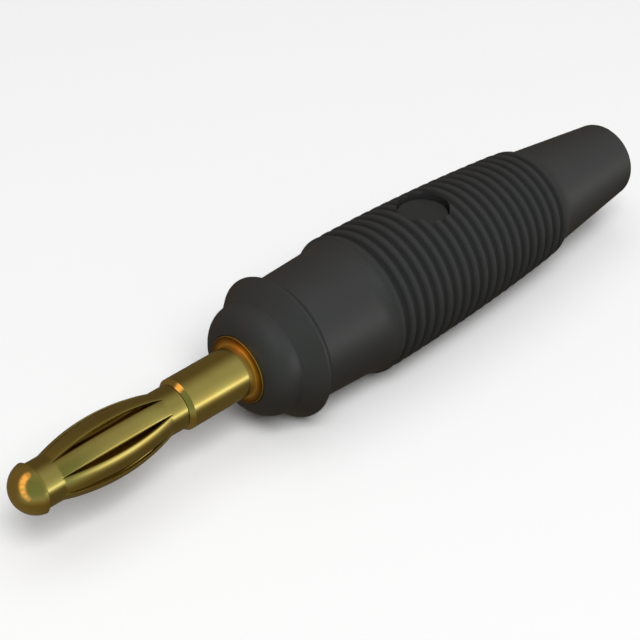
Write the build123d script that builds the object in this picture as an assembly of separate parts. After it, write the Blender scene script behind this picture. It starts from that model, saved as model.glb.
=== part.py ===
from build123d import *
import os
from math import asin, degrees, pi, sqrt

# Banana plug for 4 mm sockets: a ribbed sleeve, a turned contact pin, a lantern spring
# that turns on the pin's stem, and a grub screw that clamps the wire.
# Millimetres. The plug lies along X with its tip towards -X and the sleeve's side hole
# facing +Z. The origin is on its axis, in the plane of the sleeve's nose.

# Contact pin: head, stem and shaft
shaft_diameter = 4.0
shaft_reach = 6.15
shoulder_chamfer = 0.22
head_diameter = 3.84
head_dome_height = 1.62
head_lip = 0.08

# Contact pin: flange in the sleeve's opening, threaded body and wire terminal
flange_diameter = 5.4
flange_length = 1.2
flange_reach = 0.1
flange_chamfer = 0.08
body_diameter = 5.0
thread_length = 8.2
terminal_diameter = 4.4
terminal_length = 16.0
terminal_chamfer = 0.2
wire_bore_diameter = 2.6
wire_bore_depth = 9.6
drill_point_length = 0.7

# Lantern spring, rolled from thin sheet
cage_length = 12.3
cage_thickness = 0.2
cage_band_diameter = 3.43
cage_bulge_diameter = 4.85
cage_bulge_length = 9.63
cage_blend_radius = 2.9
strip_count = 8
slit_width = 0.045
cage_turn_deg = 15.5

# Grub screw, its place measured from the terminal's end
screw_diameter = 2.4
screw_length = 1.6
screw_point_chamfer = 0.3
screw_slot_width = 0.45
screw_slot_depth = 0.6
screw_recess = 0.05
screw_setback = 6.2

# Sleeve: nose, collar and neck
nose_round = 1.9
nose_round_centre_diameter = 5.1
collar_start = 2.2
collar_rim = 3.82
collar_diameter = 11.44
collar_edge_chamfer = 0.12
collar_end = 4.6
neck_front_diameter = 9.9
neck_back_diameter = 10.44

# Sleeve: ribbed grip
grip_start = 11.55
grip_ramp_length = 1.1
grip_length = 20.15
grip_front_diameter = 11.46
grip_back_diameter = 9.65
groove_count = 19
groove_depth = 0.3

# Sleeve: tail, side hole and cable bore
tail_front_diameter = 8.6
tail_back_diameter = 6.33
tail_ramp_length = 1.0
tail_length = 10.05
tail_edge_chamfer = 0.45
inlet_chamfer = 0.15
cable_bore_diameter = 4.0
side_hole_diameter = 4.3

# Clearances between pieces
stem_gap = 0.05
cage_play = 0.05
flange_gap = 0.05
flange_seat_gap = 0.1
body_gap = 0.05
terminal_gap = 0.1
terminal_end_gap = 0.2
screw_gap = 0.05

# Places along the axis
cage_back = -shaft_reach - cage_play
cage_front = cage_back - cage_length
cage_middle = (cage_front + cage_back) / 2
head_back = cage_front - cage_play
flange_end = flange_length - flange_reach
thread_end = flange_end + thread_length
terminal_end = thread_end + terminal_length
wire_bore_end = terminal_end - wire_bore_depth
screw_place = terminal_end - screw_setback
chamber_end = terminal_end + terminal_end_gap
grip_end = grip_start + grip_length
tail_start = grip_end + tail_ramp_length
tail_end = tail_start + tail_length

# Radii that follow from the pieces that fit inside
cage_band_radius = cage_band_diameter / 2
cage_bulge_radius = cage_bulge_diameter / 2
slit_angle = 2 * slit_width / cage_band_diameter
stem_radius = cage_band_radius - cage_thickness - stem_gap
opening_radius = flange_diameter / 2 + flange_gap
front_bore_radius = body_diameter / 2 + body_gap
chamber_radius = terminal_diameter / 2 + terminal_gap
screw_hole_radius = screw_diameter / 2 + screw_gap


def grip_radius(x):
    """Radius of the grip's long barrel curve at x, level where the grip starts."""
    front = grip_front_diameter / 2
    fall = front - grip_back_diameter / 2
    curve_radius = (grip_length**2 + fall**2) / (2 * fall)
    return front - curve_radius + sqrt(curve_radius**2 - (x - grip_start) ** 2)


def grip_outline():
    """Points of the ribs, front to back: each V groove's bottom, then the crest behind it."""
    pitch = grip_length / groove_count
    points = [(grip_start, grip_radius(grip_start))]
    for groove in range(groove_count):
        bottom = grip_start + (groove + 0.5) * pitch
        crest = grip_start + (groove + 1) * pitch
        points.append((bottom, grip_radius(bottom) - groove_depth))
        points.append((crest, grip_radius(crest)))
    return points


def sleeve_outside():
    """Solid of the sleeve's outer form: round nose, collar, neck, ribbed grip and tail."""
    centre_height = nose_round_centre_diameter / 2
    centre_place = sqrt(nose_round**2 - (opening_radius - centre_height) ** 2)
    crease_height = sqrt(nose_round**2 - (collar_start - centre_place) ** 2)
    crease = (collar_start, centre_height + crease_height)
    rim = (collar_rim, collar_diameter / 2)
    root = (collar_end, neck_front_diameter / 2)
    neck_end = (grip_start - grip_ramp_length, neck_back_diameter / 2)
    tail_back = (tail_end, tail_back_diameter / 2)
    with BuildPart() as outside:
        with BuildSketch(Plane.XZ) as half:
            with BuildLine():
                start = (0, opening_radius)
                middle_of_nose = (
                    centre_place - nose_round * sqrt(0.5),
                    centre_height + nose_round * sqrt(0.5),
                )
                ThreePointArc(start, middle_of_nose, crease)
                Polyline(
                    crease,
                    rim,
                    root,
                    neck_end,
                    *grip_outline(),
                    (tail_start, tail_front_diameter / 2),
                    tail_back,
                    (tail_end, 0),
                    (0, 0),
                    start,
                )
            make_face()
            for place, size in ((rim, collar_edge_chamfer), (tail_back, tail_edge_chamfer)):
                corner = half.vertices().sort_by_distance((place[0], place[1], 0))[0]
                chamfer(corner, length=size)
        revolve(axis=Axis.X)
    return outside.part


def sleeve_inside():
    """Solid of the space inside: flange seat, threaded front, terminal chamber and cable bore."""
    cable_radius = cable_bore_diameter / 2
    flange_seat = flange_end + flange_seat_gap
    step = chamber_radius - cable_radius
    lead = front_bore_radius - chamber_radius
    with BuildPart() as inside:
        with BuildSketch(Plane.XZ):
            with BuildLine():
                Polyline(
                    (0, 0),
                    (0, opening_radius),
                    (flange_seat, opening_radius),
                    (flange_seat, front_bore_radius),
                    (thread_end + lead, front_bore_radius),
                    (thread_end + 2 * lead, chamber_radius),
                    (chamber_end, chamber_radius),
                    (chamber_end + step, cable_radius),
                    (tail_end - inlet_chamfer, cable_radius),
                    (tail_end, cable_radius + inlet_chamfer),
                    (tail_end, 0),
                    close=True,
                )
            make_face()
        revolve(axis=Axis.X)
    return inside.part


def sleeve():
    """One moulded sleeve with the side hole through its upper wall."""
    with BuildPart() as moulding:
        add(sleeve_outside())
        add(sleeve_inside(), mode=Mode.SUBTRACT)
        with Locations((screw_place, 0, 0)):
            Cylinder(
                side_hole_diameter / 2,
                grip_front_diameter,
                align=(Align.CENTER, Align.CENTER, Align.MIN),
                mode=Mode.SUBTRACT,
            )
    return moulding.part


def contact_pin():
    """One turned pin: domed head, thin stem, shaft, flange, threaded body and wire terminal."""
    head_radius = head_diameter / 2
    shaft_radius = shaft_diameter / 2
    flange_radius = flange_diameter / 2
    body_radius = body_diameter / 2
    terminal_radius = terminal_diameter / 2
    thread_runout = body_radius - terminal_radius
    dome_base = head_back - head_lip
    with BuildPart() as pin:
        with BuildSketch(Plane.XZ):
            with BuildLine():
                TangentArc(
                    (dome_base - head_dome_height, 0),
                    (dome_base, head_radius),
                    tangent=(0, 1),
                )
                Polyline(
                    (dome_base, head_radius),
                    (head_back, head_radius - head_lip),
                    (head_back, stem_radius),
                    (-shaft_reach, stem_radius),
                    (-shaft_reach, cage_band_radius),
                    (-shaft_reach + shoulder_chamfer, shaft_radius),
                    (-flange_reach, shaft_radius),
                    (-flange_reach, flange_radius - flange_chamfer),
                    (flange_chamfer - flange_reach, flange_radius),
                    (flange_end, flange_radius),
                    (flange_end, body_radius),
                    (thread_end - thread_runout, body_radius),
                    (thread_end, terminal_radius),
                    (terminal_end - terminal_chamfer, terminal_radius),
                    (terminal_end, terminal_radius - terminal_chamfer),
                    (terminal_end, 0),
                    (dome_base - head_dome_height, 0),
                )
            make_face()
        revolve(axis=Axis.X)
        with BuildSketch(Plane.XZ):
            with BuildLine():
                Polyline(
                    (terminal_end, 0),
                    (terminal_end, wire_bore_diameter / 2),
                    (wire_bore_end, wire_bore_diameter / 2),
                    (wire_bore_end - drill_point_length, 0),
                    close=True,
                )
            make_face()
        revolve(axis=Axis.X, mode=Mode.SUBTRACT)
        with Locations((screw_place, 0, 0)):
            Cylinder(
                screw_hole_radius,
                body_diameter,
                align=(Align.CENTER, Align.CENTER, Align.MIN),
                mode=Mode.SUBTRACT,
            )
    return pin.part


def sheet_section(x, lift, half_angle):
    """Section of the rolled sheet across the axis at x, so far each side of +Z and lifted off the axis."""
    start = 90 - degrees(half_angle)
    sweep = 2 * degrees(half_angle)
    with BuildSketch(Plane.YZ.offset(x)) as section:
        with BuildLine():
            outer = CenterArc((0, lift), cage_band_radius, start, sweep)
            inner = CenterArc((0, lift), cage_band_radius - cage_thickness, start, sweep)
            Line(outer @ 0, inner @ 0)
            Line(outer @ 1, inner @ 1)
        make_face()
    return section.sketch


def spring_strip():
    """One bowed strip: a crown between two blends, its section the same all along."""
    rise = cage_bulge_radius - cage_band_radius
    half_length = cage_bulge_length / 2
    band_edge = cage_middle + half_length
    centre_distance = (half_length**2 + rise**2) / (2 * rise)
    crown_radius = centre_distance - cage_blend_radius
    bend = degrees(asin(half_length / centre_distance))
    half_angle = pi / strip_count - slit_angle / 2
    across = (0, 1, 0)
    crown_axis = Axis((cage_middle, 0, cage_bulge_radius - crown_radius), across)
    blend_axis = Axis((band_edge, 0, cage_band_radius + cage_blend_radius), across)
    with BuildPart() as strip:
        revolve(sheet_section(cage_middle, rise, half_angle), axis=crown_axis, revolution_arc=bend)
        revolve(sheet_section(band_edge, 0, half_angle), axis=blend_axis, revolution_arc=bend)
        mirror(about=Plane.YZ.offset(cage_middle))
    return strip.part


def spring_cage():
    """Rolled sheet with bowed strips between two plain bands, open along the seam between two strips."""
    band_length = (cage_length - cage_bulge_length) / 2
    with BuildPart() as cage:
        for start in (cage_front, cage_back - band_length):
            band = extrude(sheet_section(start, 0, pi - slit_angle / 2), amount=band_length, mode=Mode.PRIVATE)
            add(band.rotate(Axis.X, cage_turn_deg))
        strip = spring_strip()
        for number in range(strip_count):
            turn = cage_turn_deg + (number + 0.5) * 360 / strip_count
            add(strip.rotate(Axis.X, turn))
    return cage.part


def clamp_screw():
    """Slotted grub screw, its flat top just below the terminal's round surface."""
    radius = screw_diameter / 2
    top = sqrt((terminal_diameter / 2) ** 2 - radius**2) - screw_recess
    with BuildPart() as screw:
        with BuildSketch(Plane.XZ):
            with BuildLine():
                Polyline(
                    (0, top),
                    (radius, top),
                    (radius, top - screw_length + screw_point_chamfer),
                    (radius - screw_point_chamfer, top - screw_length),
                    (0, top - screw_length),
                    close=True,
                )
            make_face()
        revolve(axis=Axis.Z)
        with Locations((0, 0, top)):
            Box(
                screw_diameter,
                screw_slot_width,
                screw_slot_depth,
                align=(Align.CENTER, Align.CENTER, Align.MAX),
                mode=Mode.SUBTRACT,
            )
    return Pos(screw_place, 0, 0) * screw.part


def write_parts():
    """Write each piece as one STEP file named after its node."""
    os.makedirs("parts", exist_ok=True)
    pieces = {
        "sleeve": sleeve(),
        "contact_pin": contact_pin(),
        "spring_cage": spring_cage(),
        "clamp_screw": clamp_screw(),
    }
    for node, solid in pieces.items():
        export_step(solid, f"parts/{node}.step")


write_parts()
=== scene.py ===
import logging
from dataclasses import dataclass
from enum import Enum
from functools import cached_property
from math import asin, ceil, cos, degrees, pi, radians, sin, sqrt, tan
from typing import ClassVar, TypeAlias

import bmesh
import bpy
from mathutils import Matrix, Vector


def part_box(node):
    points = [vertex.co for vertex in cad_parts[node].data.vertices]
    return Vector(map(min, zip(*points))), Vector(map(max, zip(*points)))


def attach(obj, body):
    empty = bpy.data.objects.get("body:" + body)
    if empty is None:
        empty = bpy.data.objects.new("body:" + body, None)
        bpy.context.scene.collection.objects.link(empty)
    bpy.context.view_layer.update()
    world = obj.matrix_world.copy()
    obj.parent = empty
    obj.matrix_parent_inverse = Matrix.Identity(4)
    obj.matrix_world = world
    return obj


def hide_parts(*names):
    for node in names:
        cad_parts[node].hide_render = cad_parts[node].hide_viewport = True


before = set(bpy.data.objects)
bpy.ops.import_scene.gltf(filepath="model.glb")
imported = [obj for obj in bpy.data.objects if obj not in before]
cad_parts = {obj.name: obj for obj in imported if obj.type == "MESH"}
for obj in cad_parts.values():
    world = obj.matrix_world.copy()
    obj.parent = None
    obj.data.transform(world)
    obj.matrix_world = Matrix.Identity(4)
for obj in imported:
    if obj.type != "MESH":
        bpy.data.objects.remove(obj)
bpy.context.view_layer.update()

# Banana plug: a ribbed moulded sleeve with a stopper in its side hole, a gold-plated turned pin,
# a lantern spring rolled from sheet, and a grub screw. The plug lies along X with its tip towards
# -X and the side hole facing +Z. Sizes are in millimetres, and turn into metres where vertices
# are made. Where a size is in metres, as on the lamps and the backdrop, its class says so.

MILLIMETRE = 0.001
TINY = 1e-6
MERGE_DISTANCE = 1e-7
CREASE_ANGLE = radians(34.0)
BEVEL_ANGLE = radians(50.0)
DRILL_MARGIN = 1.0
UPRIGHT = Matrix.Rotation(-pi / 2, 4, "Y")

Point: TypeAlias = tuple[float, float]
Place: TypeAlias = tuple[float, float, float]
Tint: TypeAlias = tuple[float, float, float]
Stops: TypeAlias = tuple[tuple[float, Tint], ...]
Operand: TypeAlias = "Flow | float | Place"

BLACK: Tint = (0.0, 0.0, 0.0)
WHITE: Tint = (1.0, 1.0, 1.0)

maker = logging.getLogger("banana_plug")


class NodeName(str, Enum):
    """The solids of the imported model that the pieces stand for."""

    SLEEVE = "sleeve"
    PIN = "contact_pin"
    SPRING = "spring_cage"
    SCREW = "clamp_screw"


class Body(str, Enum):
    """The moving bodies that the pieces ride on."""

    SLEEVE = "sleeve"
    CONTACT = "contact"
    SPRING = "spring"
    SCREW = "screw"


class Slot(str, Enum):
    """The material slots that the pieces take their finish from."""

    PLASTIC = "sleeve_plastic"
    GOLD = "gold_plating"
    STEEL = "screw_steel"


@dataclass(frozen=True)
class Room:
    """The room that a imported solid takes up, in millimetres."""

    low: Vector
    high: Vector

    @classmethod
    def of(cls, node: NodeName) -> "Room":
        """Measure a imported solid."""
        low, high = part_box(node.value)
        return cls(low / MILLIMETRE, high / MILLIMETRE)

    @property
    def middle(self) -> float:
        """Its middle along the plug."""
        return (self.low.x + self.high.x) / 2

    @property
    def radius(self) -> float:
        """Half its height."""
        return (self.high.z - self.low.z) / 2


def metres(x: float, y: float, z: float) -> Place:
    """Turn a place in millimetres into metres."""
    return (x * MILLIMETRE, y * MILLIMETRE, z * MILLIMETRE)


def settle(work: bmesh.types.BMesh, mesh: bpy.types.Mesh) -> bpy.types.Mesh:
    """Write worked geometry into a mesh and let the work go."""
    work.to_mesh(mesh)
    work.free()
    return mesh


@dataclass(frozen=True)
class Corner:
    """A corner of an outline: its place along the axis, its radius and how it is rounded."""

    x: float
    r: float
    rounding: float = 0.0

    @property
    def spot(self) -> Vector:
        """The corner as a vector."""
        return Vector((self.x, self.r))


class Outline:
    """A profile along and away from an axis, drawn corner by corner in millimetres.

    A rounded corner gets a facet for each step, and a point that holds the side straight at a
    short distance beyond each end of its arc.
    """

    step: ClassVar[float] = radians(15.0)
    hold: ClassVar[float] = 0.035
    most_of_side: ClassVar[float] = 0.49

    def __init__(self, closed: bool = False) -> None:
        """Start an empty outline.

        Args:
            closed: Whether the last corner runs back to the first.
        """
        self.closed = closed
        self.corners: list[Corner] = []

    def to(self, x: float, r: float, rounding: float = 0.0) -> None:
        """Add one corner, rounded by a radius where one is given."""
        self.corners.append(Corner(x, r, rounding))

    def arc(self, centre: Point, radius: float, start: float, end: float, steps: int) -> None:
        """Add the points of an arc.

        Args:
            centre: Centre of the arc.
            radius: Radius of the arc.
            start: First angle in degrees, 0 along +X and 90 away from the axis.
            end: Last angle in degrees.
            steps: Number of runs along the arc.
        """
        for number in range(steps + 1):
            angle = radians(start + (end - start) * number / steps)
            self.to(centre[0] + radius * cos(angle), centre[1] + radius * sin(angle))

    def _corner_points(self, number: int) -> list[Point]:
        """Points that stand for one corner, an arc where it is rounded.

        Args:
            number: The corner's place in the outline.

        Returns:
            One point, or the arc's points with a holding point at each end.
        """
        corner = self.corners[number]
        inside = self.closed or 0 < number < len(self.corners) - 1
        if corner.rounding <= 0.0 or not inside:
            return [(corner.x, corner.r)]
        here = corner.spot
        back = self.corners[number - 1].spot - here
        ahead = self.corners[(number + 1) % len(self.corners)].spot - here
        opening = back.angle(ahead)
        reach = corner.rounding / tan(opening / 2)
        room = self.most_of_side * min(back.length, ahead.length)
        rounding = corner.rounding * min(1.0, room / reach)
        reach = min(reach, room)
        back.normalize()
        ahead.normalize()
        centre = here + (back + ahead).normalized() * rounding / sin(opening / 2)
        steps = max(2, ceil((pi - opening) / self.step))
        first = here + back * reach - centre
        sense = 1.0 if first.x * ahead.y - first.y * ahead.x > 0 else -1.0
        turn = sense * (pi - opening)
        points = [centre + Matrix.Rotation(turn * run / steps, 2) @ first for run in range(steps + 1)]
        if room > reach + 2 * self.hold:
            points.insert(0, here + back * (reach + self.hold))
            points.append(here + ahead * (reach + self.hold))
        return [(point.x, point.y) for point in points]

    def points(self) -> list[Point]:
        """All points of the outline, in order."""
        return [point for number in range(len(self.corners)) for point in self._corner_points(number)]


@dataclass(frozen=True)
class Thread:
    """A screw thread cut into a round surface, its shape the share of the depth row by row."""

    start: float
    end: float
    radius: float
    depth: float
    pitch: float
    run_out: float
    shape: tuple[float, ...] = (0.0, 0.0, 0.5, 1.0, 1.0, 0.5)

    def row_radius(self, row: int, x: float) -> float:
        """Radius of one row of the thread where it passes x.

        Args:
            row: The row's number.
            x: Place along the axis.

        Returns:
            The radius, which fades to the plain surface at both ends.
        """
        inside = min(x - self.start, self.end - x) / self.run_out
        fade = max(0.0, min(1.0, inside))
        return self.radius - self.depth * fade * self.shape[row % len(self.shape)]


class Turning:
    """Collects surfaces turned about the X axis and joins them into one closed mesh."""

    def __init__(self, segments: int) -> None:
        """Start with no surface.

        Args:
            segments: Number of facets round the axis.
        """
        self.segments = segments
        self.vertices: list[Place] = []
        self.faces: list[tuple[int, ...]] = []

    def _vertex(self, x: float, r: float, column: float) -> int:
        """Add a vertex at a place, a radius and a column round the axis, and return its number."""
        angle = 2 * pi * column / self.segments
        self.vertices.append(metres(x, r * cos(angle), r * sin(angle)))
        return len(self.vertices) - 1

    def surface(self, points: list[Point], closed: bool = False) -> None:
        """Turn a line of points about the axis.

        Args:
            points: Places along the axis and radii, in millimetres.
            closed: Whether the last point joins the first.
        """
        rings: list[list[int]] = []
        for x, r in points:
            if r < TINY:
                rings.append([self._vertex(x, 0.0, 0)] * self.segments)
            else:
                rings.append([self._vertex(x, r, column) for column in range(self.segments)])
        if closed:
            rings.append(rings[0])
        for near, far in zip(rings, rings[1:]):
            for column in range(self.segments):
                after = (column + 1) % self.segments
                corners = [near[column], near[after], far[after], far[column]]
                self.faces.append(tuple(dict.fromkeys(corners)))

    def thread(self, cut: Thread) -> None:
        """Turn a thread whose rows follow the helix.

        Args:
            cut: The thread's sizes.
        """
        per_turn = len(cut.shape)
        rows = ceil((cut.end - cut.start + cut.pitch) / cut.pitch * per_turn) + 1
        grid: list[list[int]] = []
        for row in range(rows):
            line: list[int] = []
            for column in range(self.segments):
                along = row / per_turn - 1 + column / self.segments
                x = min(max(cut.start + cut.pitch * along, cut.start), cut.end)
                line.append(self._vertex(x, cut.row_radius(row, x), column))
            grid.append(line)
        for row in range(rows - 1):
            for column in range(self.segments - 1):
                near, far = grid[row], grid[row + 1]
                self.faces.append((near[column], near[column + 1], far[column + 1], far[column]))
            near_start = grid[min(row + per_turn, rows - 1)][0]
            far_start = grid[min(row + 1 + per_turn, rows - 1)][0]
            if near_start != far_start:
                self.faces.append((grid[row][-1], near_start, far_start, grid[row + 1][-1]))

    def mesh(self, name: str) -> bpy.types.Mesh:
        """Join the surfaces into one mesh with its faces outward.

        Args:
            name: Name of the mesh.

        Returns:
            The finished mesh.
        """
        mesh = bpy.data.meshes.new(name)
        mesh.from_pydata(self.vertices, [], self.faces)
        work = bmesh.new()
        work.from_mesh(mesh)
        bmesh.ops.remove_doubles(work, verts=work.verts, dist=MERGE_DISTANCE)
        bmesh.ops.recalc_face_normals(work, faces=work.faces)
        return settle(work, mesh)

    def upright(self, name: str, place: float) -> bpy.types.Mesh:
        """Join the surfaces into one mesh that stands upright on the plug's axis.

        Args:
            name: Name of the mesh.
            place: Where it stands along the plug.

        Returns:
            The finished mesh.
        """
        mesh = self.mesh(name)
        mesh.transform(Matrix.Translation(metres(place, 0.0, 0.0)) @ UPRIGHT)
        return mesh


def drill(place: float, radius: float, surface: float, segments: int) -> bpy.types.Mesh:
    """Form of an upright hole, from the plug's axis to above a round surface.

    Args:
        place: The hole's place along the plug.
        radius: The hole's radius.
        surface: Radius of the surface that the hole comes out of.
        segments: Number of facets round the hole.

    Returns:
        The form to cut away.
    """
    top = surface + DRILL_MARGIN
    turning = Turning(segments)
    turning.surface([(0.0, 0.0), (0.0, radius), (top, radius), (top, 0.0)])
    return turning.upright("hole", place)


class Workshop:
    """Puts things into the scene, and cuts and rounds pieces."""

    @staticmethod
    def place(thing: bpy.types.ID) -> bpy.types.Object:
        """Put a mesh, a lamp or a camera into the scene as an object of the same name."""
        made = bpy.data.objects.new(thing.name, thing)
        bpy.context.scene.collection.objects.link(made)
        return made

    @staticmethod
    def bake_modifiers(piece: bpy.types.Object) -> None:
        """Make a piece's modifiers part of its mesh.

        Args:
            piece: The object to settle.
        """
        view = bpy.context.evaluated_depsgraph_get()
        plain = piece.data
        piece.data = bpy.data.meshes.new_from_object(piece.evaluated_get(view))
        piece.data.name = piece.name
        piece.modifiers.clear()
        bpy.data.meshes.remove(plain)

    @classmethod
    def cut(cls, piece: bpy.types.Object, tool: bpy.types.Mesh) -> None:
        """Cut a closed form out of a piece.

        Args:
            piece: The object that loses material.
            tool: Mesh of the form that is cut away.
        """
        cutter = cls.place(tool)
        step = piece.modifiers.new("cut", "BOOLEAN")
        step.operation = "DIFFERENCE"
        step.solver = "EXACT"
        step.object = cutter
        cls.bake_modifiers(piece)
        bpy.data.objects.remove(cutter)
        bpy.data.meshes.remove(tool)

    @staticmethod
    def soften(piece: bpy.types.Object, width: float, rounds: int = 2) -> None:
        """Round a piece's sharp edges.

        Args:
            piece: The object.
            width: Width of the rounding in millimetres.
            rounds: Facets across the rounding.
        """
        step = piece.modifiers.new("soften", "BEVEL")
        step.width = width * MILLIMETRE
        step.segments = rounds
        step.limit_method = "ANGLE"
        step.angle_limit = BEVEL_ANGLE
        step.use_clamp_overlap = True


@dataclass(frozen=True)
class Setting:
    """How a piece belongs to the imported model."""

    node: NodeName
    body: Body
    slot: Slot


class Piece:
    """A piece of the plug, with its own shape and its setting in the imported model."""

    setting: ClassVar[Setting]

    def shape(self) -> bpy.types.Object:
        """Make the bare piece."""
        raise NotImplementedError

    def build(self, finish: bpy.types.Material) -> bpy.types.Object:
        """Shape, smooth and dress the piece, and let it stand for its solid.

        Args:
            finish: Its material.

        Returns:
            The finished object.
        """
        piece = self.shape()
        piece.data.shade_smooth()
        piece.data.set_sharp_from_angle(angle=CREASE_ANGLE)
        piece.data.materials.clear()
        piece.data.materials.append(finish)
        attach(piece, self.setting.body.value)
        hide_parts(self.setting.node.value)
        triangles = sum(len(face.vertices) - 2 for face in piece.data.polygons)
        maker.info("%s: %d triangles on %s", piece.name, triangles, self.setting.body.value)
        return piece


@dataclass
class Sleeve(Piece):
    """The moulded sleeve: round nose, collar, neck, ribbed grip and tapered tail, hollow inside."""

    setting: ClassVar[Setting] = Setting(NodeName.SLEEVE, Body.SLEEVE, Slot.PLASTIC)
    tail_end: float
    grip_front_radius: float
    side_hole_place: float
    opening_radius: float = 2.75
    nose_round: float = 1.9
    nose_centre_radius: float = 2.55
    nose_steps: int = 14
    collar_start: float = 2.2
    collar_rim: float = 3.82
    collar_radius: float = 5.72
    collar_rounding: float = 0.2
    collar_end: float = 4.6
    neck_front_radius: float = 4.95
    neck_rounding: float = 0.25
    neck_back_radius: float = 5.22
    ramp_rounding: float = 1.6
    grip_start: float = 11.55
    grip_ramp: float = 1.0
    grip_length: float = 20.15
    grip_back_radius: float = 4.825
    grooves: int = 19
    groove_depth: float = 0.40
    groove_lean: float = 0.65
    crest_lift: float = 0.07
    crest_rounding: float = 0.34
    root_rounding: float = 0.12
    tail_ramp: float = 1.0
    tail_front_radius: float = 4.3
    tail_ramp_rounding: float = 2.5
    tail_back_radius: float = 3.165
    tail_rounding: float = 0.69
    flange_seat: float = 1.2
    front_bore_radius: float = 2.55
    thread_end: float = 9.3
    chamber_radius: float = 2.3
    chamber_end: float = 25.5
    cable_bore_radius: float = 2.0
    inlet_rounding: float = 0.15
    side_hole_shift: float = 0.43
    side_hole_radius: float = 2.08
    segments: int = 240
    hole_segments: int = 96

    @classmethod
    def from_frame(cls) -> "Sleeve":
        """Take the sleeve's reach and its side hole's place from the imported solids."""
        room = Room.of(NodeName.SLEEVE)
        hole = Room.of(NodeName.SCREW).middle + cls.side_hole_shift
        return cls(tail_end=room.high.x, grip_front_radius=room.radius, side_hole_place=hole)

    @property
    def barrel_radius(self) -> float:
        """Radius of the long curve that the grip's crests lie on."""
        fall = self.grip_front_radius - self.grip_back_radius
        return (self.grip_length**2 + fall**2) / (2 * fall)

    def grip_radius(self, x: float) -> float:
        """Radius of the grip's barrel at a place along the axis."""
        curve = self.barrel_radius
        return self.grip_front_radius - curve + sqrt(curve**2 - (x - self.grip_start) ** 2)

    def _draw_nose(self, line: Outline) -> None:
        """Draw the round nose, from the pin's opening to the collar.

        Args:
            line: The outline to go on with.
        """
        rise = self.opening_radius - self.nose_centre_radius
        centre = sqrt(self.nose_round**2 - rise**2)
        first = 180.0 - degrees(asin(rise / self.nose_round))
        last = 90.0 - degrees(asin((self.collar_start - centre) / self.nose_round))
        line.arc((centre, self.nose_centre_radius), self.nose_round, first, last, self.nose_steps)

    def _draw_grip(self, line: Outline) -> None:
        """Draw the leaning grooves and their round crests, each crest on the barrel curve.

        Args:
            line: The outline to go on with.
        """
        pitch = self.grip_length / self.grooves
        line.to(self.grip_start, self.grip_radius(self.grip_start), self.crest_rounding)
        for groove in range(self.grooves):
            bottom = self.grip_start + (groove + self.groove_lean) * pitch
            crest = self.grip_start + (groove + 1) * pitch
            lift = self.crest_lift if groove + 1 < self.grooves else 0.0
            line.to(bottom, self.grip_radius(bottom) - self.groove_depth, self.root_rounding)
            line.to(crest, self.grip_radius(crest) + lift, self.crest_rounding)

    def outline(self) -> Outline:
        """Draw the wall along the outside to the tail and back through the bore.

        Returns:
            The closed outline.
        """
        line = Outline(closed=True)
        self._draw_nose(line)
        line.to(self.collar_rim, self.collar_radius, self.collar_rounding)
        line.to(self.collar_end, self.neck_front_radius, self.neck_rounding)
        line.to(self.grip_start - self.grip_ramp, self.neck_back_radius, self.ramp_rounding)
        self._draw_grip(line)
        tail_start = self.grip_start + self.grip_length + self.tail_ramp
        line.to(tail_start, self.tail_front_radius, self.tail_ramp_rounding)
        line.to(self.tail_end, self.tail_back_radius, self.tail_rounding)
        line.to(self.tail_end, self.cable_bore_radius, self.inlet_rounding)
        inlet_end = self.chamber_end + self.chamber_radius - self.cable_bore_radius
        line.to(inlet_end, self.cable_bore_radius)
        line.to(self.chamber_end, self.chamber_radius)
        lead = self.front_bore_radius - self.chamber_radius
        line.to(self.thread_end + 2 * lead, self.chamber_radius)
        line.to(self.thread_end + lead, self.front_bore_radius)
        line.to(self.flange_seat, self.front_bore_radius)
        line.to(self.flange_seat, self.opening_radius)
        return line

    def shape(self) -> bpy.types.Object:
        """Turn the wall and cut the side hole through it.

        Returns:
            The bare sleeve.
        """
        turning = Turning(self.segments)
        turning.surface(self.outline().points(), closed=True)
        piece = Workshop.place(turning.mesh("Sleeve"))
        hole = drill(
            self.side_hole_place,
            self.side_hole_radius,
            self.grip_front_radius,
            self.hole_segments,
        )
        Workshop.cut(piece, hole)
        return piece


@dataclass
class HoleStopper(Piece):
    """The thin cup pressed into the sleeve's side hole, its flat face a little below the ribs."""

    setting: ClassVar[Setting] = Setting(NodeName.SLEEVE, Body.SLEEVE, Slot.PLASTIC)
    place: float
    radius: float
    face: float = 4.75
    thickness: float = 0.5
    height: float = 1.2
    skirt: float = 0.35
    gap: float = 0.09
    edge: float = 0.06
    segments: int = 96

    @classmethod
    def from_sleeve(cls, sleeve: Sleeve) -> "HoleStopper":
        """Fit the stopper to the sleeve's side hole."""
        return cls(place=sleeve.side_hole_place, radius=sleeve.side_hole_radius - cls.gap)

    def shape(self) -> bpy.types.Object:
        """Turn the cup and stand it upright in its hole.

        Returns:
            The bare stopper.
        """
        inner = self.radius - self.skirt
        foot = self.face - self.height
        line = Outline()
        line.to(self.face, 0.0)
        line.to(self.face, self.radius, self.edge)
        line.to(foot, self.radius, self.edge)
        line.to(foot, inner, self.edge)
        line.to(self.face - self.thickness, inner)
        line.to(self.face - self.thickness, 0.0)
        turning = Turning(self.segments)
        turning.surface(line.points())
        return Workshop.place(turning.upright("HoleStopper", self.place))


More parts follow.
